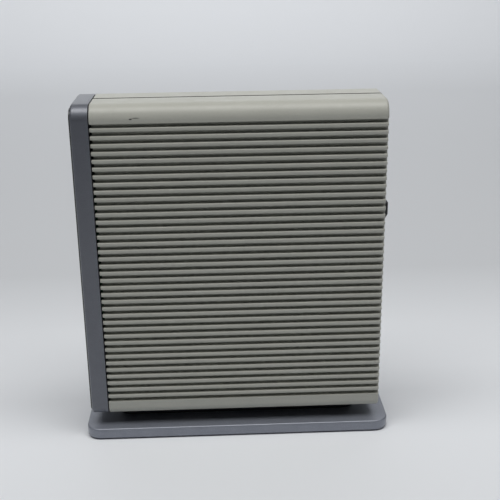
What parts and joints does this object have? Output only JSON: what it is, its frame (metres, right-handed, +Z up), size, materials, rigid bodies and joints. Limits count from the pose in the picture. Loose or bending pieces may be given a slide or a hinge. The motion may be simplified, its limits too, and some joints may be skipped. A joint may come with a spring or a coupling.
{
  "type": "mesh wifi node",
  "caption": "Slim upright network tower with ribbed side shells, a silver front bezel and a weighted base plate, with network sockets, buttons and a rocker switch at the rear.",
  "frame": {"origin": "centre of the base plate's footprint, on the surface that the feet stand on", "axes": "+Z up, +X from the front bezel towards the rear port panel, +Y from the near shell to the far shell"},
  "size_m": [0.1886, 0.0582, 0.2074],
  "materials": {
    "shell_plastic": "fine-textured warm grey moulded plastic",
    "silver_plastic": "satin blue-grey metallic finish on plastic",
    "smoked_black": "gloss black, smoked",
    "black_plastic": "fine matt black",
    "clear_plastic": "milky clear",
    "board_green": "green solder mask",
    "chip_black": "matt black moulding",
    "led_white": "milky white",
    "steel": "bright zinc-plated steel",
    "shield_tin": "tin-plated steel",
    "sink_aluminium": "plain extruded aluminium",
    "pad_grey": "soft grey silicone",
    "contact_gold": "gold-plated contact metal",
    "chassis_plastic": "dark grey moulding",
    "lead_black": "black wire jacket",
    "foot_rubber": "matt black rubber"
  },
  "bodies": {
    "tower": {"antenna_leads": "lead_black", "antenna_pads": "contact_gold", "base_plate": "silver_plastic", "base_screws": "steel", "base_weight": "steel", "bezel_screws": "steel", "board_plug": "led_white", "board_screws": "steel", "capacitors": "sink_aluminium", "chassis": "chassis_plastic", "chassis_screws": "steel", "coax_plugs": "contact_gold", "display_lead": "lead_black", "display_plug": "led_white", "ethernet_jack_1": "black_plastic", "ethernet_jack_2": "black_plastic", "ethernet_jack_3": "black_plastic", "far_shell": "shell_plastic", "feet": "foot_rubber", "flash_chip": "chip_black", "front_bezel": "silver_plastic", "front_insert": "smoked_black", "heatsink": "sink_aluminium", "heatsink_pins": "black_plastic", "inductors": "chip_black", "inlet_pin": "contact_gold", "jack_contacts": "contact_gold", "led_board": "board_green", "led_board_screws": "steel", "leds": "led_white", "light_pipe": "clear_plastic", "lower_radio_shield": "shield_tin", "magnetics": "chip_black", "main_board": "board_green", "memory_chips": "chip_black", "near_shell": "shell_plastic", "network_chip": "chip_black", "pair_switch": "chip_black", "pedestal": "black_plastic", "power_inlet": "black_plastic", "power_leads": "lead_black", "processor": "chip_black", "processor_shield": "shield_tin", "radio_chips": "chip_black", "rear_panel": "black_plastic", "rear_panel_screws": "steel", "reset_switch": "chip_black", "rocker_housing": "black_plastic", "side_antennas": "board_green", "switch_terminals": "contact_gold", "thermal_pads": "pad_grey", "top_antennas": "board_green", "upper_radio_shield": "shield_tin"},
    "rocker": {"rocker": "black_plastic"},
    "pair_button": {"pair_button": "silver_plastic", "pair_plunger": "black_plastic"},
    "reset_button": {"reset_button": "silver_plastic", "reset_plunger": "black_plastic"}
  },
  "joints": [
    {"name": "power_rocker", "type": "hinge", "parent": "tower", "child": "rocker", "pos_m": [0.0837, 0, 0.1371], "axis": [0, -1, 0], "range_deg": [0, 30]},
    {"name": "pair_press", "type": "slide", "parent": "tower", "child": "pair_button", "axis": [-1, 0, 0], "range_m": [0, 0.0005], "stiffness_N_per_m": 1500, "springref_m": -0.0005},
    {"name": "reset_press", "type": "slide", "parent": "tower", "child": "reset_button", "axis": [-1, 0, 0], "range_m": [0, 0.0005], "stiffness_N_per_m": 1500, "springref_m": -0.0005}
  ]
}
